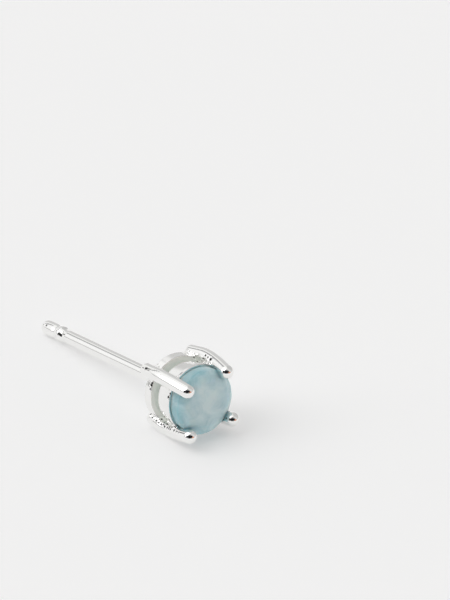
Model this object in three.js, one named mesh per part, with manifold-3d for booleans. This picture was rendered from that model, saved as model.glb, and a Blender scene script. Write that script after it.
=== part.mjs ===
// Stud earring with a round faceted stone in an open four-claw basket.
// Units are millimetres, +Z is up. The earring lies on the plane z = 0 as it
// would by itself: on its two lower claws and on the nose of its post.
//
// The pieces are first made in the earring's own frame, with its axis along Y:
//   X  side, to the right for someone who looks at the stone
//   Y  along the post; y = 0 is the front edge of the stone's girdle,
//      negative y is in front of it, positive y is towards the post
//   Z  up across the axis
// At the end the frame is tilted until both lower claws and the nose touch
// the plane.
import * as THREE from 'three';
import { mergeVertices } from 'three/addons/utils/BufferGeometryUtils.js';
import { ConvexGeometry } from 'three/addons/geometries/ConvexGeometry.js';
import Module from 'manifold-3d';

// ---- driving dimensions (mm) ----------------------------------------------
const STONE_RADIUS = 2.0;          // at the girdle
const TABLE_RADIUS = 1.38;         // corners of the eight-sided table
const CROWN_HEIGHT = 0.42;         // girdle front edge to table
const STAR_RADIUS = 1.72;          // where two kites and a star facet meet
const GIRDLE_DEPTH = 0.62;         // plain band below the crown
const GIRDLE_REAR_RADIUS = 1.96;
const CULET_DEPTH = 2.1;           // girdle front edge to the point at the back
const CULET_RADIUS = 0.1;
const STONE_TURN = 10;             // degrees, a table corner from +X
const STONE_GAP = 0.03;            // clearance between stone and metal

const FRONT_RING = { front: 0.72, rear: 1.96, frontRadius: 2.05, rearRadius: 1.86, bore: 1.6 };
const BACK_RING = { front: 2.43, rear: 2.96, frontRadius: 2.03, rearRadius: 2.08, bore: 1.7 };
const BASE_PLATE_THICKNESS = 0.24; // closes the rear of the back ring
const RING_SEGMENTS = 64;

const CLAW_RADIUS = 0.424;         // round wire
const CLAW_TIP = -0.46;            // y of the centre of its rounded tip
// distance of the claw's centre line from the axis, at equal steps from the
// rear end to the tip
const CLAW_LINE = [2.218, 2.372, 2.29, 2.098];
// one row a claw: side, up, y of the centre of its rounded rear end, extra bow
// of its shaft, sway of its shaft in X and Z, shift of its tip in X and Z
const CLAWS = [
  { side: -1, up: 1, rear: 3.04, bow: 0.04, swayX: 0, swayZ: 0, tipX: 0.04, tipZ: -0.14 },
  { side: 1, up: 1, rear: 3.04, bow: 0.05, swayX: 0, swayZ: 0, tipX: -0.08, tipZ: 0.065 },
  { side: 1, up: -1, rear: 3.04, bow: 0.03, swayX: -0.13, swayZ: -0.13, tipX: 0.01, tipZ: -0.035 },
  { side: -1, up: -1, rear: 3.06, bow: -0.09, swayX: 0.17, swayZ: -0.17, tipX: -0.1, tipZ: 0.0 },
];
const CLAW_SIDES = 16;
const CLAW_STEPS = 12;

const POST_RADIUS = 0.405;
const POST_END = 15.29;            // y of the tip of its nose
const POST_LEAN_X = -0.067;        // how far the nose is off the axis
const POST_LEAN_Z = -0.079;
const SOLDER_RADIUS = 0.62;        // fillet where the post meets the plate
const SOLDER_LENGTH = 0.34;
const POST_SIDES = 28;
// nose, rim and retaining groove: distance from the tip, radius
const NOSE = [
  { at: 0.0, radius: 0.0 },
  { at: 0.015, radius: 0.13 },
  { at: 0.07, radius: 0.25 },
  { at: 0.17, radius: 0.345 },
  { at: 0.31, radius: 0.41 },
  { at: 0.5, radius: 0.44 },
  { at: 1.15, radius: 0.435 },
  { at: 1.38, radius: 0.405 },
  { at: 1.5, radius: 0.405 },
  { at: 1.66, radius: 0.455 },
  { at: 1.86, radius: 0.46 },
  { at: 1.97, radius: 0.4 },
  { at: 2.06, radius: 0.365 },
  { at: 2.22, radius: 0.37 },
  { at: 2.45, radius: POST_RADIUS },
];

// ---- solids ----------------------------------------------------------------
const wasm = await Module();
wasm.setup();

function toSolid(geometry) {
  const g = geometry.clone();
  for (const name of ['normal', 'uv', 'color']) if (g.getAttribute(name)) g.deleteAttribute(name);
  const merged = mergeVertices(g, 1e-5);
  return new wasm.Manifold(new wasm.Mesh({
    numProp: 3,
    vertProperties: new Float32Array(merged.getAttribute('position').array),
    triVerts: new Uint32Array(merged.getIndex().array),
  }));
}

function toGeometry(solid) {
  const mesh = solid.getMesh();
  const g = new THREE.BufferGeometry();
  g.setAttribute('position', new THREE.BufferAttribute(new Float32Array(mesh.vertProperties), 3));
  g.setIndex(new THREE.BufferAttribute(new Uint32Array(mesh.triVerts), 1));
  g.computeVertexNormals();
  return g;
}

// a closed or axis-to-axis outline of (radius, y), turned about Y; the outline
// runs with growing y on its outer side
function turned(outline, sides) {
  return new THREE.LatheGeometry(outline.map(([r, y]) => new THREE.Vector2(r, y)), sides);
}

// ---- stone -----------------------------------------------------------------
// a round brilliant: eight-sided table, eight star facets, eight kites, a
// scalloped girdle band and a plain many-sided pavilion
function stoneGeometry(grow) {
  const pts = [];
  const put = (radius, degrees, y) => {
    const a = THREE.MathUtils.degToRad(degrees + STONE_TURN);
    pts.push(new THREE.Vector3(radius * Math.cos(a), y, radius * Math.sin(a)));
  };
  const R = STONE_RADIUS;
  const kiteY = (radius, degrees) =>
    -CROWN_HEIGHT * (R - radius * Math.cos(THREE.MathUtils.degToRad(degrees))) / (R - TABLE_RADIUS);
  const scallop = CROWN_HEIGHT * R * (1 - Math.cos(Math.PI / 16)) / (R - TABLE_RADIUS) * 1.4;
  for (let i = 0; i < 8; i++) {
    put(TABLE_RADIUS + grow, i * 45, -CROWN_HEIGHT - grow);
    put(STAR_RADIUS + grow, i * 45 + 22.5, kiteY(STAR_RADIUS, 22.5) - grow);
  }
  for (let i = 0; i < 32; i++) {
    put(R + grow, i * 11.25, (i % 2 ? scallop : 0) - grow);
    put(GIRDLE_REAR_RADIUS + grow, i * 11.25, GIRDLE_DEPTH + grow);
  }
  for (let i = 0; i < 8; i++) put(CULET_RADIUS + grow * 0.5, i * 45, CULET_DEPTH + grow);
  return new ConvexGeometry(pts);
}

// ---- rings and base plate --------------------------------------------------
// the front ring flares to the front, and its mouth follows the pavilion
function frontRing() {
  const f = FRONT_RING;
  const mouth = GIRDLE_REAR_RADIUS - 0.07;
  return turned([
    [mouth - 0.26, f.front + 0.23],
    [mouth, f.front + 0.01],
    [f.frontRadius - 0.06, f.front],
    [f.frontRadius, f.front + 0.05],
    [f.frontRadius - 0.005, f.front + 0.16],
    [(f.frontRadius + f.rearRadius) / 2 + 0.02, (f.front + f.rear) / 2],
    [f.rearRadius, f.rear - 0.07],
    [f.rearRadius - 0.06, f.rear],
    [f.bore + 0.05, f.rear],
    [f.bore, f.rear - 0.05],
    [mouth - 0.26, f.front + 0.23],
  ], RING_SEGMENTS);
}

// the back ring and the flat plate that closes it
function backRing() {
  const b = BACK_RING;
  const inner = b.rear - BASE_PLATE_THICKNESS;
  return turned([
    [0, inner],
    [b.bore - 0.08, inner],
    [b.bore, inner - 0.06],
    [b.bore, b.front + 0.04],
    [b.bore + 0.04, b.front],
    [b.frontRadius - 0.06, b.front],
    [b.frontRadius, b.front + 0.06],
    [b.rearRadius, b.rear - 0.1],
    [b.rearRadius - 0.03, b.rear - 0.03],
    [b.rearRadius - 0.1, b.rear],
    [0, b.rear],
  ], RING_SEGMENTS);
}

// ---- post ------------------------------------------------------------------
function post() {
  const root = BACK_RING.rear;
  const outline = [
    [0, root - 0.15],
    [SOLDER_RADIUS, root - 0.15],
    [SOLDER_RADIUS, root],
    [SOLDER_RADIUS - 0.12, root + SOLDER_LENGTH * 0.28],
    [POST_RADIUS + 0.03, root + SOLDER_LENGTH * 0.7],
    [POST_RADIUS, root + SOLDER_LENGTH],
  ];
  for (const row of [...NOSE].reverse()) outline.push([row.radius, POST_END - row.at]);
  const g = turned(outline, POST_SIDES);
  // the post leans a little from the axis, about its root
  const length = POST_END - root;
  g.translate(0, -root, 0);
  g.rotateX(Math.atan2(POST_LEAN_Z, length));
  g.rotateZ(-Math.atan2(POST_LEAN_X, length));
  g.translate(0, root, 0);
  return g;
}

// ---- claws -----------------------------------------------------------------
// a round wire with round ends, bent along its centre line
function clawLine(claw) {
  const n = CLAW_LINE.length - 1;
  const rho = CLAW_LINE.map((r, i) => r + claw.bow * [1, 1, 0.6, 0][i]);
  const points = rho.map((r, i) => {
    const k = i / n;
    const sway = Math.sin(Math.PI * Math.sqrt(k));
    return new THREE.Vector3(
      claw.side * r / Math.SQRT2 + claw.swayX * sway + claw.tipX * k * k,
      claw.rear + (CLAW_TIP - claw.rear) * k,
      claw.up * r / Math.SQRT2 + claw.swayZ * sway + claw.tipZ * k * k,
    );
  });
  return new THREE.CatmullRomCurve3(points, false, 'centripetal');
}

function clawGeometry(claw) {
  const line = clawLine(claw);
  const length = line.getLength();
  const R = CLAW_RADIUS;
  // straight capsule from y = -R to y = length + R, then bent
  const outline = [];
  const cap = 5;
  for (let i = 0; i <= cap; i++) {
    const a = -Math.PI / 2 + (Math.PI / 2) * (i / cap);
    outline.push([R * Math.cos(a), R * Math.sin(a)]);
  }
  for (let i = 1; i < CLAW_STEPS; i++) outline.push([R, length * i / CLAW_STEPS]);
  for (let i = 0; i <= cap; i++) {
    const a = (Math.PI / 2) * (i / cap);
    outline.push([R * Math.cos(a), length + R * Math.sin(a)]);
  }
  outline[0][0] = 0;
  outline[outline.length - 1][0] = 0;
  const g = turned(outline, CLAW_SIDES);
  const position = g.getAttribute('position');
  const p = new THREE.Vector3();
  const along = new THREE.Vector3();
  const side = new THREE.Vector3();
  const out = new THREE.Vector3();
  for (let i = 0; i < position.count; i++) {
    p.fromBufferAttribute(position, i);
    const u = THREE.MathUtils.clamp(p.y / length, 0, 1);
    const over = p.y - u * length;
    const centre = line.getPointAt(u);
    line.getTangentAt(u, along);
    // out points away from the axis, side completes the frame
    out.set(claw.side, 0, claw.up).normalize();
    side.crossVectors(along, out).normalize();
    out.crossVectors(side, along).normalize();
    const q = centre.clone()
      .addScaledVector(along, over)
      .addScaledVector(out, p.x)
      .addScaledVector(side, p.z);
    position.setXYZ(i, q.x, q.y, q.z);
  }
  return g;
}

// ---- the setting, one soldered solid ---------------------------------------
function outward(geometry) {
  const solid = toSolid(geometry);
  if (solid.volume() > 0) return solid;
  const g = geometry.clone();
  const index = g.getIndex();
  for (let i = 0; i < index.count; i += 3) {
    const a = index.getX(i);
    index.setX(i, index.getX(i + 1));
    index.setX(i + 1, a);
  }
  return toSolid(g);
}

let metal = outward(frontRing());
for (const g of [backRing(), post(), ...CLAWS.map(clawGeometry)]) metal = metal.add(outward(g));
metal = metal.subtract(outward(stoneGeometry(STONE_GAP)));

const settingGeometry = toGeometry(metal);
const stoneSolid = outward(stoneGeometry(0));
const stoneShape = toGeometry(stoneSolid);

// ---- rest ------------------------------------------------------------------
// lowest height of a set of points after a tilt about X and a roll about Y
function lowest(points, tilt, roll) {
  const e = new THREE.Euler(-tilt, roll, 0, 'XYZ');
  const m = new THREE.Matrix4().makeRotationFromEuler(e);
  let z = Infinity;
  const v = new THREE.Vector3();
  for (const p of points) z = Math.min(z, v.copy(p).applyMatrix4(m).z);
  return z;
}

const spots = { nose: [], left: [], right: [], ring: [] };
{
  const position = settingGeometry.getAttribute('position');
  for (let i = 0; i < position.count; i++) {
    const p = new THREE.Vector3().fromBufferAttribute(position, i);
    if (p.y > POST_END - 2.6) spots.nose.push(p);
    else if (p.y < 4 && p.z < -0.8 && Math.abs(p.x) > 0.9) (p.x < 0 ? spots.left : spots.right).push(p);
    else if (p.y < 4) spots.ring.push(p);
  }
}
let tilt = 0.1;
let roll = 0;
for (let i = 0; i < 60; i++) {
  const nose = lowest(spots.nose, tilt, roll);
  const left = lowest(spots.left, tilt, roll);
  const right = lowest(spots.right, tilt, roll);
  tilt += (nose - (left + right) / 2) / (POST_END - 1.5);
  roll += (right - left) / 3.6;
}

// the rings stay clear of the plane between the two claws
const clear = lowest(spots.ring, tilt, roll) - lowest(spots.nose, tilt, roll);
if (clear < 0.005) throw new Error(`the back ring would touch the plane first: ${clear}`);

export const rest = { tilt, roll, clear };

const earring = new THREE.Group();
earring.rotation.set(-tilt, roll, 0, 'XYZ');

const setting = new THREE.Mesh(settingGeometry, new THREE.MeshStandardMaterial({
  color: 0xdcdcda, roughness: 0.12, metalness: 1.0,
}));
setting.name = 'setting';

const stone = new THREE.Mesh(stoneShape, new THREE.MeshStandardMaterial({
  color: 0x9fb9bd, roughness: 0.18, metalness: 0.0,
}));
stone.name = 'stone';

earring.add(setting, stone);

// the box of the lying earring is centred over the origin and stands on z = 0
const part = new THREE.Group();
part.add(earring);
part.updateMatrixWorld(true);
const box = new THREE.Box3().setFromObject(part, true);
earring.position.set(-(box.min.x + box.max.x) / 2, -(box.min.y + box.max.y) / 2, -box.min.z);
part.updateMatrixWorld(true);

export default part;
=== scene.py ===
"""Stud earring with a round milky stone, lying on a pale floor.

The metal is one soldered body.  It is described as a signed distance field
(rings, base plate, four claws, post) whose joints are blended with small
solder fillets, and turned into a mesh by dual contouring.  The stone is made
the same way from the planes of its facets.

Geometry is written in millimetres in the earring's own frame: X to the side,
Y along the post with y = 0 at the front edge of the girdle, Z up across the
axis.  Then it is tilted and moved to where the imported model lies, in metres.
"""

import math

import bpy
import numpy as np
from mathutils import Matrix, Vector


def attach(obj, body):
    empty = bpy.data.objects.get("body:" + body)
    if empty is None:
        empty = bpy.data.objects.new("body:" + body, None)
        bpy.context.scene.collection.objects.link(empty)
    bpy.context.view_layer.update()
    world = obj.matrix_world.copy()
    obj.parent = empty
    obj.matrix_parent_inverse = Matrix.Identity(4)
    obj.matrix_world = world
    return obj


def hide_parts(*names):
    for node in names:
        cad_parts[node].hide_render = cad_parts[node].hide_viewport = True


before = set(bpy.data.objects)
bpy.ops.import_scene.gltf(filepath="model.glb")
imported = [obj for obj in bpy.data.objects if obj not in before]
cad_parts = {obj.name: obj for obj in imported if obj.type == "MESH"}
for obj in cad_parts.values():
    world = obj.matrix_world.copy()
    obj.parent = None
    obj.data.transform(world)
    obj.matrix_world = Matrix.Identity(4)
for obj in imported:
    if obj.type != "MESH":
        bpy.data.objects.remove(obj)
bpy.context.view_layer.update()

# ---------------------------------------------------------------- dimensions
STONE_RADIUS = 2.0
TABLE_RADIUS = 1.38
CROWN_HEIGHT = 0.42
STAR_RADIUS = 1.72
GIRDLE_DEPTH = 0.62
GIRDLE_REAR_RADIUS = 1.96
CULET_DEPTH = 2.1
CULET_RADIUS = 0.1
STONE_TURN = 10.0
STONE_GAP = 0.022

PLATE_REAR = 2.96
PLATE_FRONT = 2.72

CLAW_RADIUS = 0.424
CLAW_TIP = -0.46
CLAW_LINE = (2.218, 2.372, 2.29, 2.098)
# side, up, rear, bow, sway x, sway z, tip x, tip z
CLAWS = (
    (-1, 1, 3.04, 0.04, 0.0, 0.0, 0.04, -0.14),
    (1, 1, 3.04, 0.05, 0.0, 0.0, -0.08, 0.065),
    (1, -1, 3.04, 0.03, -0.13, -0.13, 0.01, -0.035),
    (-1, -1, 3.06, -0.09, 0.17, -0.17, -0.1, 0.0),
)

POST_RADIUS = 0.405
POST_END = 15.29
POST_LEAN = (-0.067, -0.079)
# distance from the tip, radius
NOSE = (
    (0.0, 0.0), (0.015, 0.13), (0.07, 0.25), (0.17, 0.345), (0.31, 0.41),
    (0.5, 0.44), (1.15, 0.435), (1.38, 0.405), (1.5, 0.405), (1.66, 0.455),
    (1.86, 0.46), (1.97, 0.4), (2.06, 0.365), (2.22, 0.37), (2.45, 0.405),
)

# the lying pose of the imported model
TILT = 0.1320841
ROLL = -0.0167181
PLACE = (0.02722, -7.035275, 2.459709)


# ------------------------------------------------------------ distance fields
def smin(a, b, k):
    """Union of two fields with a fillet about k wide."""
    h = np.maximum(k - np.abs(a - b), 0.0) / k
    return np.minimum(a, b) - h * h * k * 0.25


def smax(a, b, k):
    return -smin(-a, -b, k)


def inset(poly, by):
    """A polygon, given counter-clockwise, with each edge moved in."""
    p = np.array(poly, float)
    n = len(p)
    out = []
    for i in range(n):
        a, b, c = p[i - 1], p[i], p[(i + 1) % n]
        u, v = b - a, c - b
        u, v = u / np.linalg.norm(u), v / np.linalg.norm(v)
        nu, nv = np.array([-u[1], u[0]]), np.array([-v[1], v[0]])
        m = nu + nv
        out.append(b + m * by / (m @ nu))
    return np.array(out)


def poly_field(q, poly):
    """Signed distance in a plane to a closed polygon."""
    p = np.asarray(poly, float)
    d = np.full(len(q), 1e9)
    inside = np.zeros(len(q), bool)
    for i in range(len(p)):
        a, b = p[i], p[i - 1]
        e = b - a
        w = q - a
        t = np.clip((w @ e) / (e @ e), 0, 1)
        off = w - t[:, None] * e
        d = np.minimum(d, (off * off).sum(1))
        up = (a[1] > q[:, 1]) != (b[1] > q[:, 1])
        with np.errstate(divide="ignore", invalid="ignore"):
            cross = q[:, 0] < (b[0] - a[0]) * (q[:, 1] - a[1]) / (b[1] - a[1]) + a[0]
        inside ^= up & cross
    d = np.sqrt(d)
    return np.where(inside, -d, d)


def area(poly):
    p = np.array(poly, float)
    x, y = p[:, 0], p[:, 1]
    return 0.5 * float(np.sum(x * np.roll(y, -1) - np.roll(x, -1) * y))


def rounded(poly, radius):
    """The outline of a turned shape, (radius, y), ready for ring_field."""
    poly = list(poly) if area(poly) > 0 else list(poly)[::-1]
    return inset(poly, radius), radius


def ring_field(r, y, outline):
    poly, radius = outline
    return poly_field(np.stack([r, y], 1), poly) - radius


FRONT_RING = rounded(
    [(1.6, 1.0), (1.63, 0.95), (1.885, 0.72), (2.052, 0.72), (2.052, 0.9),
     (1.975, 1.34), (1.858, 1.96), (1.6, 1.96)][2:] + [(1.6, 0.975)], 0.045)
BACK_RING = rounded([(1.7, 2.43), (2.03, 2.43), (2.08, 2.96), (1.7, 2.96)], 0.05)
PLATE = rounded([(-1.0, PLATE_FRONT), (1.85, PLATE_FRONT), (1.85, PLATE_REAR), (-1.0, PLATE_REAR)], 0.03)


def spline(points, count):
    """Centripetal Catmull-Rom through the points, at equal parameters."""
    P = np.array(points, float)
    ext = np.vstack([2 * P[0] - P[1], P, 2 * P[-1] - P[-2]])
    out = []
    for t in np.linspace(0, len(P) - 1, count):
        i = min(int(t), len(P) - 2)
        w = t - i
        p0, p1, p2, p3 = ext[i], ext[i + 1], ext[i + 2], ext[i + 3]
        d0, d1, d2 = (float(((b - a) ** 2).sum()) ** 0.25 for a, b in ((p0, p1), (p1, p2), (p2, p3)))
        t1 = ((p1 - p0) / d0 - (p2 - p0) / (d0 + d1) + (p2 - p1) / d1) * d1
        t2 = ((p2 - p1) / d1 - (p3 - p1) / (d1 + d2) + (p3 - p2) / d2) * d1
        c2 = -3 * p1 + 3 * p2 - 2 * t1 - t2
        c3 = 2 * p1 - 2 * p2 + t1 + t2
        out.append(p1 + t1 * w + c2 * w * w + c3 * w ** 3)
    return np.array(out)


def claw_line(side, up, rear, bow, sway_x, sway_z, tip_x, tip_z):
    pts = []
    for i, r in enumerate(CLAW_LINE):
        k = i / (len(CLAW_LINE) - 1)
        r += bow * (1, 1, 0.6, 0)[i]
        sway = math.sin(math.pi * math.sqrt(k))
        pts.append((side * r / math.sqrt(2) + sway_x * sway + tip_x * k * k,
                    rear + (CLAW_TIP - rear) * k,
                    up * r / math.sqrt(2) + sway_z * sway + tip_z * k * k))
    return spline(pts, 25)


CLAW_LINES = [claw_line(*row) for row in CLAWS]


def wire_field(p, line, radius):
    """Distance to a round wire with round ends along a polyline."""
    best = np.full(len(p), 1e9)
    for a, b in zip(line[:-1], line[1:]):
        e = b - a
        w = p - a
        t = np.clip((w @ e) / (e @ e), 0, 1)
        off = w - t[:, None] * e
        best = np.minimum(best, (off * off).sum(1))
    return np.sqrt(best) - radius


def smooth_profile(rows, count):
    """Monotone parameter, smooth interpolation of (at, radius) rows."""
    pts = spline(rows, count)
    pts[:, 1] = np.maximum(pts[:, 1], 0)
    return pts


_nose = smooth_profile(NOSE, 85)
_nose[0] = (0, 0)
# the outline of the post as (radius, y), tip first, closed on the axis inside the plate
POST_OUTLINE = np.array(
    [(r, POST_END - at) for at, r in _nose]
    + [(POST_RADIUS, PLATE_REAR + 0.3), (POST_RADIUS, PLATE_REAR - 0.12), (-1.0, PLATE_REAR - 0.12), (-1.0, POST_END)])


def post_field(p):
    k = (p[:, 1] - PLATE_REAR) / (POST_END - PLATE_REAR)
    r = np.hypot(p[:, 0] - POST_LEAN[0] * k, p[:, 2] - POST_LEAN[1] * k)
    d = np.empty(len(p))
    nose = p[:, 1] > POST_END - 2.9
    body = ~nose
    d[nose] = poly_field(np.stack([r[nose], p[nose, 1]], 1), POST_OUTLINE)
    d[body] = np.maximum(r[body] - POST_RADIUS, (PLATE_REAR - 0.12) - p[body, 1])
    return d


def ripple(p, scale, seed):
    """Cheap smooth noise, about -1 to 1, from crossed waves."""
    rng = np.random.default_rng(seed)
    total = np.zeros(len(p))
    for _ in range(6):
        d = rng.normal(size=3)
        d /= np.linalg.norm(d)
        total += np.sin(p @ (d * 2 * math.pi / (scale * rng.uniform(0.75, 1.4))) + rng.uniform(0, 6.28))
    return total / 3.0


# facets of the stone as outward planes, n . p <= d
def stone_points():
    pts = []

    def put(radius, degrees, y):
        a = math.radians(degrees + STONE_TURN)
        pts.append((radius * math.cos(a), y, radius * math.sin(a)))

    R = STONE_RADIUS
    kite = lambda radius, deg: -CROWN_HEIGHT * (R - radius * math.cos(math.radians(deg))) / (R - TABLE_RADIUS)
    scallop = CROWN_HEIGHT * R * (1 - math.cos(math.pi / 16)) / (R - TABLE_RADIUS) * 1.4
    for i in range(8):
        put(TABLE_RADIUS, i * 45, -CROWN_HEIGHT)
        put(STAR_RADIUS, i * 45 + 22.5, kite(STAR_RADIUS, 22.5))
    for i in range(32):
        put(R, i * 11.25, scallop if i % 2 else 0.0)
        put(GIRDLE_REAR_RADIUS, i * 11.25, GIRDLE_DEPTH)
    for i in range(8):
        put(CULET_RADIUS, i * 45, CULET_DEPTH)
    return np.array(pts)


def stone_planes():
    """Planes of the convex hull of the stone's corners."""
    import bmesh
    bm = bmesh.new()
    for c in stone_points():
        bm.verts.new(c)
    bmesh.ops.convex_hull(bm, input=bm.verts)
    centre = Vector((0, 0.5, 0))
    rows = []
    for f in bm.faces:
        f.normal_update()
        if f.calc_area() < 1e-7:
            continue
        n = f.normal.copy()
        c = f.calc_center_median()
        if n.dot(c - centre) < 0:
            n = -n
        rows.append((n.x, n.y, n.z, n.dot(c)))
    bm.free()
    rows = np.array(rows)
    keep = []
    for row in rows:
        if all(np.abs(row - k).max() > 2e-3 for k in keep):
            keep.append(row)
    return np.array(keep)


PLANES = stone_planes()


def stone_field(p, soft):
    """Signed distance to the facets, with edges rounded over about soft mm."""
    out = np.empty(len(p))
    for i in range(0, len(p), 60000):
        d = p[i:i + 60000] @ PLANES[:, :3].T - PLANES[:, 3]
        top = d.max(1)
        out[i:i + 60000] = top + soft * np.log(np.exp((d - top[:, None]) / soft).sum(1)) if soft else top
    return out


def step(x, a, b):
    t = np.clip((x - a) / (b - a), 0.0, 1.0)
    return t * t * (3 - 2 * t)


def head_parts(q, rq):
    """Fields of the rings and of each claw, and how rough the solder leaves the place."""
    rings = np.minimum(ring_field(rq, q[:, 1], FRONT_RING),
                       smin(ring_field(rq, q[:, 1], BACK_RING), ring_field(rq, q[:, 1], PLATE), 0.05))
    wires = [wire_field(q, line, CLAW_RADIUS) for line in CLAW_LINES]
    near = np.min(wires, axis=0)
    # on the rings beside a claw, and on the inner side of a claw between the rings
    beside = np.exp(-(np.maximum(near, 0) / 0.2) ** 2 - (np.maximum(rings, 0) / 0.16) ** 2) * step(q[:, 1], 3.0, 2.75)
    inner = step(rq, 2.36, 2.2) * step(q[:, 1], 0.45, 0.75) * step(q[:, 1], 3.15, 2.95) * np.exp(-(near / 0.1) ** 2)
    return rings, wires, np.maximum(beside, inner)


# small dents painted black, standing in for the dark reflections and shade at the joints and on the post: x, y, z,
# radius
PAINTED_SPECKS_AND_DENTS = np.array((
    # lower left claw, in a row along its inner side
    (-1.77, 2.47, -1.34, 0.065), (-1.77, 2.22, -1.42, 0.05), (-1.76, 2.03, -1.46, 0.06),
    (-1.71, 1.87, -1.43, 0.055), (-1.77, 1.70, -1.48, 0.065), (-1.77, 1.44, -1.45, 0.06),
    (-1.80, 1.25, -1.45, 0.05), (-1.83, 1.08, -1.43, 0.06), (-1.68, 0.78, -1.22, 0.06),
    (-1.84, 0.70, -1.36, 0.065), (-1.86, 0.46, -1.34, 0.05), (-1.88, 0.20, -1.30, 0.045),
    # upper right claw, at the front ring
    (1.37, 1.42, 2.00, 0.06), (1.34, 1.15, 1.98, 0.05), (1.30, 0.86, 1.95, 0.10), (1.15, 0.74, 1.80, 0.05),
    # upper left claw: rear end and top, back ring, front ring
    (-1.92, 2.78, 1.94, 0.08), (-1.92, 2.66, 1.96, 0.075), (-1.92, 2.52, 1.98, 0.045),
    (-1.91, 2.40, 2.00, 0.04), (-1.90, 2.28, 2.01, 0.035), (-1.95, 1.36, 2.03, 0.04),
    (-1.76, 2.51, 1.02, 0.07), (-1.82, 2.52, 0.90, 0.085), (-1.92, 2.52, 0.70, 0.05),
    (-1.81, 0.74, 0.97, 0.05), (-1.92, 0.82, 0.75, 0.075),
    # lower right claw, beside the stone
    (1.57, -0.11, -1.15, 0.06), (1.12, -0.39, -1.34, 0.055),
    # groove and nose of the post
    (-0.39, 13.18, 0.08, 0.085), (-0.37, 14.63, 0.25, 0.06),
))


def painted_specks_and_dents(p):
    """Depth of the dents in mm, and how black they are painted as reflection and shade, 0 to 1."""
    depth = np.zeros(len(p))
    painted_black = np.zeros(len(p))
    for x, y, z, radius in PAINTED_SPECKS_AND_DENTS:
        g = np.exp(-((p - (x, y, z)) ** 2).sum(1) / radius ** 2)
        depth = np.maximum(depth, g * radius * 0.3)
        painted_black = np.maximum(painted_black, g)
    return depth, painted_black


def metal_field(p):
    d = np.full(len(p), 5.0)
    r = np.hypot(p[:, 0], p[:, 2])
    head = (p[:, 1] < 3.9) & (r < 3.3)
    q, rq = p[head], r[head]
    rings, wires, rough = head_parts(q, rq)
    joint = rings.copy()
    for wire in wires:
        joint = smin(joint, wire, 0.13)
    joint = joint - rough * (0.008 + 0.012 * ripple(q, 0.34, 5) + 0.008 * ripple(q, 0.17, 6))
    seat = q[:, 1] < 2.4
    cut = np.full(len(q), -5.0)
    cut[seat] = STONE_GAP - stone_field(q[seat], 0.0)
    joint = smax(joint, cut, 0.02)
    d[head] = joint
    post = (r < 1.6) & (p[:, 1] > 2.6)
    d[post] = smin(d[post], post_field(p[post]), 0.42)
    return d + painted_specks_and_dents(p)[0]


# ------------------------------------------------------------ dual contouring
def gradient(field, p, eps=0.002):
    k = np.array([(1, -1, -1), (-1, -1, 1), (-1, 1, -1), (1, 1, 1)], float)
    g = np.zeros_like(p)
    for e in k:
        g += e * field(p + e * eps)[:, None]
    n = np.linalg.norm(g, axis=1, keepdims=True)
    return g / np.maximum(n, 1e-12)


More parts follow.
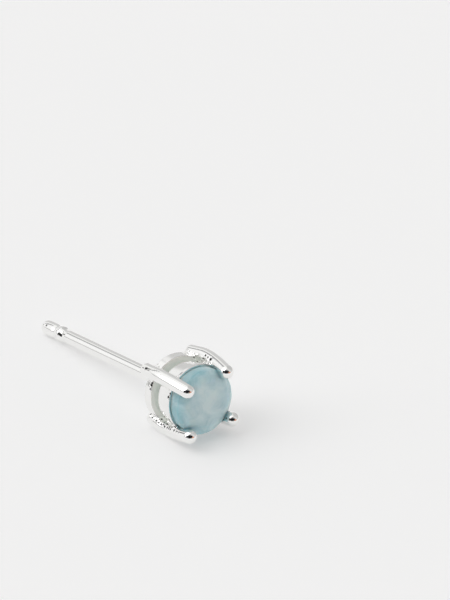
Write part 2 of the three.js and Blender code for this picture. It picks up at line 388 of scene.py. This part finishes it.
def contour(field, xs, ys, zs, coarse=4):
    """Vertices, quads and corner normals of field = 0 on a rectilinear grid."""
    nx, ny, nz = len(xs), len(ys), len(zs)
    S = np.full((nx, ny, nz), 9.0)
    # blocks far from the surface are skipped
    for i0 in range(0, nx, coarse):
        for_x = slice(i0, min(i0 + coarse + 1, nx))
        cx = xs[for_x]
        js = np.arange(0, ny, coarse)
        ks = np.arange(0, nz, coarse)
        jm = np.minimum(js + coarse, ny - 1)
        km = np.minimum(ks + coarse, nz - 1)
        J, K = np.meshgrid(np.arange(len(js)), np.arange(len(ks)), indexing="ij")
        J, K = J.ravel(), K.ravel()
        cy, cz = (ys[js] + ys[jm]) / 2, (zs[ks] + zs[km]) / 2
        mid = np.stack([np.full(len(J), (cx[0] + cx[-1]) / 2), cy[J], cz[K]], 1)
        half = np.sqrt(((cx[-1] - cx[0]) / 2) ** 2 + ((ys[jm] - ys[js]) / 2)[J] ** 2 + ((zs[km] - zs[ks]) / 2)[K] ** 2)
        val = field(mid)
        near = np.abs(val) < half * 1.25 + 0.08
        idx, pts = [], []
        for j, k in zip(J[near], K[near]):
            a, b, c = np.meshgrid(np.arange(i0, min(i0 + coarse, nx)), np.arange(js[j], min(js[j] + coarse, ny)),
                                  np.arange(ks[k], min(ks[k] + coarse, nz)), indexing="ij")
            idx.append(np.stack([a.ravel(), b.ravel(), c.ravel()], 1))
        for j, k in zip(J[~near], K[~near]):
            S[i0:i0 + coarse, js[j]:js[j] + coarse, ks[k]:ks[k] + coarse] = np.sign(val[j * len(ks) + k]) * 9.0
        if idx:
            idx = np.concatenate(idx)
            S[idx[:, 0], idx[:, 1], idx[:, 2]] = field(np.stack([xs[idx[:, 0]], ys[idx[:, 1]], zs[idx[:, 2]]], 1))
    inside = S < 0
    axes = (xs, ys, zs)
    cells = (nx - 1, ny - 1, nz - 1)
    size = cells[0] * cells[1] * cells[2]
    ata = [np.zeros(size) for _ in range(6)]
    atb = [np.zeros(size) for _ in range(3)]
    mass = [np.zeros(size) for _ in range(3)]
    count = np.zeros(size)
    quads = []
    for ax in range(3):
        sl0, sl1 = [slice(None)] * 3, [slice(None)] * 3
        sl0[ax], sl1[ax] = slice(0, -1), slice(1, None)
        cross = inside[tuple(sl0)] != inside[tuple(sl1)]
        e = np.argwhere(cross)
        f = e.copy()
        f[:, ax] += 1
        s0, s1 = S[e[:, 0], e[:, 1], e[:, 2]], S[f[:, 0], f[:, 1], f[:, 2]]
        p0 = np.stack([axes[c][e[:, c]] for c in range(3)], 1)
        p1 = np.stack([axes[c][f[:, c]] for c in range(3)], 1)
        t0, t1 = np.zeros(len(e)), np.ones(len(e))
        for _ in range(2):
            t = t0 + (t1 - t0) * s0 / (s0 - s1)
            v = field(p0 + (p1 - p0) * t[:, None])
            low = (v < 0) == (s0 < 0)
            t0, s0 = np.where(low, t, t0), np.where(low, v, s0)
            t1, s1 = np.where(low, t1, t), np.where(low, s1, v)
            same = np.abs(s0 - s1) < 1e-9
            s1 = np.where(same, s0 + np.where(s0 < 0, 1e-6, -1e-6), s1)
        t = t0 + (t1 - t0) * s0 / (s0 - s1)
        p = p0 + (p1 - p0) * np.clip(t, 0, 1)[:, None]
        n = gradient(field, p)
        b = (n * p).sum(1)
        u, w = [c for c in range(3) if c != ax]
        corner = []
        for du, dw in ((-1, -1), (0, -1), (0, 0), (-1, 0)):
            c = e.copy()
            c[:, u] += du
            c[:, w] += dw
            flat = (c[:, 0] * cells[1] + c[:, 1]) * cells[2] + c[:, 2]
            corner.append(flat)
            m = 0
            for i in range(3):
                for j in range(i, 3):
                    ata[m] += np.bincount(flat, n[:, i] * n[:, j], size)
                    m += 1
                atb[i] += np.bincount(flat, n[:, i] * b, size)
                mass[i] += np.bincount(flat, p[:, i], size)
            count += np.bincount(flat, minlength=size)
        q = np.stack(corner, 1)
        flip = inside[e[:, 0], e[:, 1], e[:, 2]] ^ (ax == 1)
        q[~flip] = q[~flip][:, ::-1]
        quads.append(q)
    used = np.flatnonzero(count)
    number = np.full(size, -1)
    number[used] = np.arange(len(used))
    c = count[used]
    m = np.stack([x[used] for x in mass], 1) / c[:, None]
    A = np.empty((len(used), 3, 3))
    k = 0
    for i in range(3):
        for j in range(i, 3):
            A[:, i, j] = A[:, j, i] = ata[k][used]
            k += 1
    rhs = np.stack([x[used] for x in atb], 1) - np.einsum("nij,nj->ni", A, m)
    lam = 0.06 * c
    A = A + np.eye(3) * lam[:, None, None]
    v = m + np.linalg.solve(A, rhs[:, :, None])[:, :, 0]
    ci, rest = used // (cells[1] * cells[2]), used % (cells[1] * cells[2])
    cj, ck = rest // cells[2], rest % cells[2]
    for col, (grid, idx) in enumerate(zip(axes, (ci, cj, ck))):
        v[:, col] = np.clip(v[:, col], grid[idx], grid[idx + 1])
    faces = number[np.concatenate(quads)]
    # corner normals: the field's own, and across a crease the face's side of it
    vn = gradient(field, v, 0.0015)
    centre = v[faces].mean(1)
    cn = vn[faces]
    fn = np.cross(v[faces[:, 2]] - v[faces[:, 0]], v[faces[:, 3]] - v[faces[:, 1]])
    fn /= np.maximum(np.linalg.norm(fn, axis=1, keepdims=True), 1e-12)
    off = (cn * fn[:, None]).sum(2) < 0.93
    where = np.argwhere(off)
    if len(where):
        pts = v[faces[where[:, 0], where[:, 1]]] * 0.6 + centre[where[:, 0]] * 0.4
        cn[where[:, 0], where[:, 1]] = gradient(field, pts, 0.0015)
    bad = (cn * fn[:, None]).sum(2) < 0.2
    cn[bad] = np.broadcast_to(fn[:, None], cn.shape)[bad]
    return v, faces, cn


def place_matrix():
    """From the earring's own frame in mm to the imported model's in metres."""
    turn = Matrix.Rotation(-TILT, 4, "X") @ Matrix.Rotation(ROLL, 4, "Y")
    return Matrix.Scale(0.001, 4) @ Matrix.Translation(PLACE) @ turn


def mesh_object(name, v, faces, normals):
    m = np.array(place_matrix())
    me = bpy.data.meshes.new(name)
    w = v @ m[:3, :3].T + m[:3, 3]
    rot = m[:3, :3] / 0.001
    me.vertices.add(len(w))
    me.vertices.foreach_set("co", w.astype(np.float32).ravel())
    me.loops.add(faces.size)
    me.loops.foreach_set("vertex_index", faces.astype(np.int32).ravel())
    me.polygons.add(len(faces))
    me.polygons.foreach_set("loop_start", np.arange(0, faces.size, 4, dtype=np.int32))
    me.update(calc_edges=True)
    me.validate()
    me.polygons.foreach_set("use_smooth", np.ones(len(me.polygons), bool))
    if len(me.loops) == faces.size:
        me.normals_split_custom_set((normals.reshape(-1, 3) @ rot.T).astype(np.float32))
    ob = bpy.data.objects.new(name, me)
    bpy.context.scene.collection.objects.link(ob)
    return ob


def spaced(*spans):
    """Grid lines from spans of (start, end, step)."""
    rows = []
    for a, b, h in spans:
        n = max(1, int(round((b - a) / h)))
        rows.append(np.linspace(a, b, n, endpoint=False))
    rows.append([spans[-1][1]])
    return np.concatenate(rows)


def build_setting():
    h = 0.044
    xs = spaced((-2.21, 2.21, h))
    zs = spaced((-2.27, 2.27, h))
    ys = spaced((-0.97, 3.62, h), (3.62, 12.6, 0.2), (12.6, 15.36, 0.034))
    v, faces, normals = contour(metal_field, xs, ys, zs)
    ob = mesh_object("setting_silver", v, faces, normals)
    # the inside of the basket is matt with a painted glow and warm tint, and the solder seams are rough
    r = np.hypot(v[:, 0], v[:, 2])
    bore = step(r, 1.78, 1.70) * step(v[:, 1], 0.94, 1.02) * step(v[:, 1], 2.80, 2.76)
    between = step(r, 2.02, 1.96) * step(v[:, 1], 1.93, 1.955) * step(v[:, 1], 2.46, 2.435)
    inside = np.maximum(bore, between)
    head = v[:, 1] < 3.9
    rough = np.zeros(len(v))
    rough[head] = head_parts(v[head], r[head])[2]
    for name, value in (("matt_inside_with_painted_glow", inside), ("solder", rough), ("painted_dark_speck", painted_specks_and_dents(v)[1])):
        layer = ob.data.attributes.new(name, "FLOAT", "POINT")
        layer.data.foreach_set("value", value.astype(np.float32))
    return ob


def build_stone():
    h = 0.04
    g = spaced((-2.07, 2.07, h))
    ys = spaced((-0.5, 2.18, h))
    v, faces, normals = contour(lambda p: stone_field(p, 0.016), g, ys, g)
    ob = mesh_object("stone_aqua", v, faces, normals)
    girdle = step(v[:, 1], -0.05, 0.04) * step(v[:, 1], 0.9, 0.6)
    layer = ob.data.attributes.new("girdle", "FLOAT", "POINT")
    layer.data.foreach_set("value", girdle.astype(np.float32))
    return ob


setting = build_setting()
stone = build_stone()

for ob, node, slot in ((setting, "setting", "silver"), (stone, "stone", "aqua_stone")):
    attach(ob, "root")
    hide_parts(node)


# ----------------------------------------------------------------- materials
STONE_HEART = tuple(place_matrix() @ Vector((0.05, -0.3, 0.22)))


def new_material(name):
    mat = bpy.data.materials.new(name)
    mat.use_nodes = True
    mat.node_tree.nodes.clear()
    return mat, mat.node_tree.nodes, mat.node_tree.links


def silver_material():
    mat, N, L = new_material("polished_silver")
    out = N.new("ShaderNodeOutputMaterial")
    bsdf = N.new("ShaderNodeBsdfPrincipled")
    bsdf.inputs["Metallic"].default_value = 1.0
    L.new(bsdf.outputs[0], out.inputs[0])
    coord = N.new("ShaderNodeTexCoord")
    broad = N.new("ShaderNodeTexNoise")
    broad.inputs["Scale"].default_value = 900.0
    broad.inputs["Detail"].default_value = 2.0
    L.new(coord.outputs["Object"], broad.inputs["Vector"])
    ramp = N.new("ShaderNodeMapRange")
    ramp.inputs["To Min"].default_value = 0.045
    ramp.inputs["To Max"].default_value = 0.12
    L.new(broad.outputs[0], ramp.inputs[0])
    basket_inside = N.new("ShaderNodeAttribute")
    basket_inside.attribute_name = "matt_inside_with_painted_glow"
    solder = N.new("ShaderNodeAttribute")
    solder.attribute_name = "solder"

    # polished outside, matt white inside the basket with a painted warm tint for the light bounced about in it
    dull = N.new("ShaderNodeMix")
    dull.inputs[3].default_value = 0.62
    L.new(basket_inside.outputs["Fac"], dull.inputs[0])
    L.new(ramp.outputs[0], dull.inputs[2])
    L.new(dull.outputs[0], bsdf.inputs["Roughness"])
    shine = N.new("ShaderNodeMapRange")
    shine.inputs["To Min"].default_value = 1.0
    shine.inputs["To Max"].default_value = 0.0
    L.new(basket_inside.outputs["Fac"], shine.inputs[0])
    L.new(shine.outputs[0], bsdf.inputs["Metallic"])
    # a painted glow on the inside of the basket, where it would otherwise lie in shade
    glow_paint = N.new("ShaderNodeMath")
    glow_paint.operation = "MULTIPLY"
    glow_paint.inputs[1].default_value = 0.095
    L.new(basket_inside.outputs["Fac"], glow_paint.inputs[0])
    L.new(glow_paint.outputs[0], bsdf.inputs["Emission Strength"])
    bsdf.inputs["Emission Color"].default_value = (0.97, 1.0, 0.93, 1)
    tone = N.new("ShaderNodeMixRGB")
    tone.inputs[1].default_value = (0.915, 0.915, 0.905, 1)
    tone.inputs[2].default_value = (0.955, 0.95, 0.935, 1)
    L.new(broad.outputs[0], tone.inputs[0])
    inside_painted_tint = N.new("ShaderNodeMixRGB")
    inside_painted_tint.inputs[2].default_value = (0.96, 0.95, 0.91, 1)
    L.new(basket_inside.outputs["Fac"], inside_painted_tint.inputs[0])
    L.new(tone.outputs[0], inside_painted_tint.inputs[1])

    # painted black specks along the solder seams, standing in for dark reflections and shade notches at the joints
    cells = N.new("ShaderNodeTexVoronoi")
    cells.inputs["Scale"].default_value = 5200.0
    L.new(coord.outputs["Object"], cells.inputs["Vector"])
    speck_cells = N.new("ShaderNodeMapRange")
    speck_cells.inputs["From Min"].default_value = 0.24
    speck_cells.inputs["From Max"].default_value = 0.36
    speck_cells.inputs["To Min"].default_value = 1.0
    speck_cells.inputs["To Max"].default_value = 0.0
    L.new(cells.outputs["Distance"], speck_cells.inputs[0])
    seam = N.new("ShaderNodeMapRange")
    seam.inputs["From Min"].default_value = 0.6
    seam.inputs["From Max"].default_value = 0.85
    L.new(solder.outputs["Fac"], seam.inputs[0])
    painted_black = N.new("ShaderNodeMath")
    painted_black.operation = "MULTIPLY"
    L.new(speck_cells.outputs[0], painted_black.inputs[0])
    L.new(seam.outputs[0], painted_black.inputs[1])
    # painted black at the dents, for dark reflections and shade
    painted_dark_speck = N.new("ShaderNodeAttribute")
    painted_dark_speck.attribute_name = "painted_dark_speck"
    painted_speck_mask = N.new("ShaderNodeMapRange")
    painted_speck_mask.inputs["From Min"].default_value = 0.22
    painted_speck_mask.inputs["From Max"].default_value = 0.5
    L.new(painted_dark_speck.outputs["Fac"], painted_speck_mask.inputs[0])
    both = N.new("ShaderNodeMath")
    both.operation = "MAXIMUM"
    L.new(painted_black.outputs[0], both.inputs[0])
    L.new(painted_speck_mask.outputs[0], both.inputs[1])
    with_painted_specks = N.new("ShaderNodeMixRGB")
    with_painted_specks.inputs[2].default_value = (0.03, 0.028, 0.028, 1)
    L.new(both.outputs[0], with_painted_specks.inputs[0])
    L.new(inside_painted_tint.outputs[0], with_painted_specks.inputs[1])
    L.new(with_painted_specks.outputs[0], bsdf.inputs["Base Color"])

    # a barely wavy polish, and pits where the solder ran
    wave = N.new("ShaderNodeTexNoise")
    wave.inputs["Scale"].default_value = 1600.0
    wave.inputs["Detail"].default_value = 3.0
    L.new(coord.outputs["Object"], wave.inputs["Vector"])
    bump = N.new("ShaderNodeBump")
    bump.inputs["Strength"].default_value = 0.05
    bump.inputs["Distance"].default_value = 0.00005
    L.new(wave.outputs[0], bump.inputs["Height"])
    pits = N.new("ShaderNodeTexNoise")
    pits.inputs["Scale"].default_value = 7000.0
    pits.inputs["Detail"].default_value = 2.0
    L.new(coord.outputs["Object"], pits.inputs["Vector"])
    depth = N.new("ShaderNodeMath")
    depth.operation = "MULTIPLY"
    L.new(pits.outputs[0], depth.inputs[0])
    L.new(solder.outputs["Fac"], depth.inputs[1])
    pitted = N.new("ShaderNodeBump")
    pitted.inputs["Strength"].default_value = 1.0
    pitted.inputs["Distance"].default_value = 0.00004
    L.new(depth.outputs[0], pitted.inputs["Height"])
    L.new(bump.outputs[0], pitted.inputs["Normal"])
    L.new(pitted.outputs[0], bsdf.inputs["Normal"])
    return mat


def stone_material():
    mat, N, L = new_material("milky_aqua_stone")
    out = N.new("ShaderNodeOutputMaterial")
    bsdf = N.new("ShaderNodeBsdfPrincipled")
    L.new(bsdf.outputs[0], out.inputs[0])
    coord = N.new("ShaderNodeTexCoord")

    # paler around a point a little above the middle of the table, deeper teal towards the rim, with cloudy mottling
    centre = N.new("ShaderNodeVectorMath")
    centre.operation = "DISTANCE"
    L.new(coord.outputs["Object"], centre.inputs[0])
    centre.inputs[1].default_value = STONE_HEART
    cloud = N.new("ShaderNodeTexNoise")
    cloud.inputs["Scale"].default_value = 900.0
    cloud.inputs["Detail"].default_value = 5.0
    cloud.inputs["Roughness"].default_value = 0.62
    cloud.inputs["Distortion"].default_value = 0.9
    L.new(coord.outputs["Object"], cloud.inputs["Vector"])
    spread = N.new("ShaderNodeMapRange")
    spread.inputs["From Min"].default_value = 0.3
    spread.inputs["From Max"].default_value = 0.7
    spread.inputs["To Min"].default_value = -0.4
    spread.inputs["To Max"].default_value = 0.4
    L.new(cloud.outputs[0], spread.inputs[0])
    reach = N.new("ShaderNodeMapRange")
    reach.inputs["From Min"].default_value = 0.0004
    reach.inputs["From Max"].default_value = 0.0024
    L.new(centre.outputs["Value"], reach.inputs[0])
    add = N.new("ShaderNodeMath")
    add.operation = "ADD"
    add.use_clamp = True
    L.new(reach.outputs[0], add.inputs[0])
    L.new(spread.outputs[0], add.inputs[1])
    ramp = N.new("ShaderNodeValToRGB")
    e = ramp.color_ramp.elements
    e[0].position, e[0].color = 0.0, (0.76, 0.90, 0.92, 1)
    e[1].position, e[1].color = 1.0, (0.375, 0.62, 0.67, 1)
    mid = ramp.color_ramp.elements.new(0.5)
    mid.color = (0.61, 0.79, 0.83, 1)
    L.new(add.outputs[0], ramp.inputs[0])
    # painted shade: the girdle band, where the stone sits in the ring, is darkened
    girdle = N.new("ShaderNodeAttribute")
    girdle.attribute_name = "girdle"
    girdle_shade = N.new("ShaderNodeMixRGB")
    girdle_shade.blend_type = "MULTIPLY"
    girdle_shade.inputs[2].default_value = (0.80, 0.84, 0.85, 1)
    L.new(girdle.outputs["Fac"], girdle_shade.inputs[0])
    L.new(ramp.outputs[0], girdle_shade.inputs[1])
    L.new(girdle_shade.outputs[0], bsdf.inputs["Base Color"])

    bsdf.inputs["Roughness"].default_value = 0.42
    bsdf.inputs["IOR"].default_value = 1.5
    bsdf.inputs["Specular IOR Level"].default_value = 0.35
    bsdf.inputs["Transmission Weight"].default_value = 0.05
    bsdf.inputs["Coat Weight"].default_value = 0.3
    bsdf.inputs["Coat Roughness"].default_value = 0.06
    bsdf.inputs["Subsurface Weight"].default_value = 1.0
    bsdf.inputs["Subsurface Radius"].default_value = (0.6, 0.9, 1.0)
    bsdf.inputs["Subsurface Scale"].default_value = 0.0009
    return mat


def floor_material():
    """Pale acrylic that glows a little, as on a light table, so shadows stay soft."""
    mat, N, L = new_material("pale_floor")
    out = N.new("ShaderNodeOutputMaterial")
    bsdf = N.new("ShaderNodeBsdfPrincipled")
    bsdf.inputs["Base Color"].default_value = (0.738, 0.738, 0.738, 1)
    bsdf.inputs["Roughness"].default_value = 1.0
    bsdf.inputs["Specular IOR Level"].default_value = 0.0
    bsdf.inputs["Emission Color"].default_value = (1, 1, 1, 1)
    bsdf.inputs["Emission Strength"].default_value = 0.29
    L.new(bsdf.outputs[0], out.inputs[0])
    return mat


setting.data.materials.append(silver_material())
stone.data.materials.append(stone_material())

# -------------------------------------------------------------- floor, world
bpy.ops.mesh.primitive_plane_add(size=6.0, location=(0, 0, 0))
floor = bpy.context.object
floor.name = "floor"
floor.data.materials.append(floor_material())

def heading(azimuth, elevation):
    """Unit vector towards a place in the studio; azimuth 0 is -Y and 90 is +X."""
    a, e = math.radians(azimuth), math.radians(elevation)
    return (math.sin(a) * math.cos(e), -math.cos(a) * math.cos(e), math.sin(e))


def studio():
    """A soft white tent, brightest behind the left side, open and dark in front."""
    world = bpy.data.worlds.new("studio")
    bpy.context.scene.world = world
    world.use_nodes = True
    N, L = world.node_tree.nodes, world.node_tree.links
    N.clear()
    out = N.new("ShaderNodeOutputWorld")
    bg = N.new("ShaderNodeBackground")
    L.new(bg.outputs[0], out.inputs[0])
    coord = N.new("ShaderNodeTexCoord")

    def dot(v):
        n = N.new("ShaderNodeVectorMath")
        n.operation = "DOT_PRODUCT"
        L.new(coord.outputs["Generated"], n.inputs[0])
        n.inputs[1].default_value = v
        return n.outputs["Value"]

    def ease(value, a, b):
        n = N.new("ShaderNodeMapRange")
        n.interpolation_type = "SMOOTHSTEP"
        n.inputs["From Min"].default_value = a
        n.inputs["From Max"].default_value = b
        L.new(value, n.inputs["Value"])
        return n.outputs["Result"]

    def lobe(azimuth, elevation, inner, outer):
        return ease(dot(heading(azimuth, elevation)), math.cos(math.radians(outer)), math.cos(math.radians(inner)))

    def times(a, b):
        n = N.new("ShaderNodeMath")
        n.operation = "MULTIPLY"
        L.new(a, n.inputs[0])
        L.new(b, n.inputs[1])
        return n.outputs[0]

    def band(v, half, soft):
        """1 near the plane through the centre whose normal is v."""
        n = N.new("ShaderNodeMath")
        n.operation = "ABSOLUTE"
        L.new(dot(v), n.inputs[0])
        return ease(n.outputs[0], half + soft, half)

    tone = None

    def paint(colour, amount):
        nonlocal tone
        n = N.new("ShaderNodeMixRGB")
        n.inputs[2].default_value = (*colour, 1)
        if tone is None:
            n.inputs[1].default_value = (*TENT, 1)
        else:
            L.new(tone, n.inputs[1])
        L.new(amount, n.inputs[0])
        tone = n.outputs[0]

    TENT = (0.70, 0.70, 0.695)
    gap = (-0.662, -0.435, 0.610)      # the seam between the soft box and the back wall
    up = dot((0, 0, 1))
    paint((0.55, 0.55, 0.545), lobe(105, 38, 25, 62))          # far wall on the right
    paint((0.91, 0.91, 0.905), lobe(-170, 14, 30, 62))         # back wall
    paint((0.63, 0.63, 0.625), lobe(143, 15, 15, 27))
    paint((0.98, 0.98, 0.98), times(times(lobe(-118, 46, 46, 60), ease(dot(gap), 0.0, 0.02)),
                                    ease(up, 0.20, 0.36)))       # large soft box on the left
    paint((2.6, 2.6, 2.6), lobe(-102, 41, 4, 40))              # and its lamp
    paint((0.40, 0.40, 0.40), times(times(ease(up, 0.02, 0.05), ease(up, 0.14, 0.10)),
                                    lobe(-75, 5, 62, 78)))       # edge of the table in front
    paint((0.20, 0.20, 0.20), lobe(-42, 28, 27, 46))           # opening of the tent
    paint((0.012, 0.012, 0.014), lobe(-89, 20, 15, 19))
    paint((0.012, 0.012, 0.014), lobe(-46, 27, 21, 25))
    paint((0.012, 0.012, 0.014), lobe(-8, 25, 16, 20))
    paint((0.66, 0.33, 0.22), lobe(12, 5, 16, 20))             # a warm thing beside it
    paint((0.34, 0.34, 0.345), times(band(gap, 0.035, 0.05), lobe(184, 33, 8, 17)))
    paint((0.06, 0.06, 0.06), lobe(197, 10, 2.5, 6))
    L.new(tone, bg.inputs["Color"])
    return world


studio()

# --------------------------------------------------------------------- camera
cam_data = bpy.data.cameras.new("camera")
cam_data.sensor_width = 36.0
cam_data.lens = 641.256
cam_data.clip_start = 0.05
cam_data.clip_end = 20.0
cam = bpy.data.objects.new("camera", cam_data)
right = Vector((0.78909, -0.61426, 0.00436))
up = Vector((0.312, 0.40689, 0.85854))
back = Vector((-0.52914, -0.67611, 0.51272))
rot = Matrix((right, up, back)).transposed().to_4x4()
cam.matrix_world = Matrix.Translation((-0.320626, -0.418593, 0.320817)) @ rot
bpy.context.scene.collection.objects.link(cam)
bpy.context.scene.camera = cam
bpy.context.scene.view_settings.view_transform = "Standard"
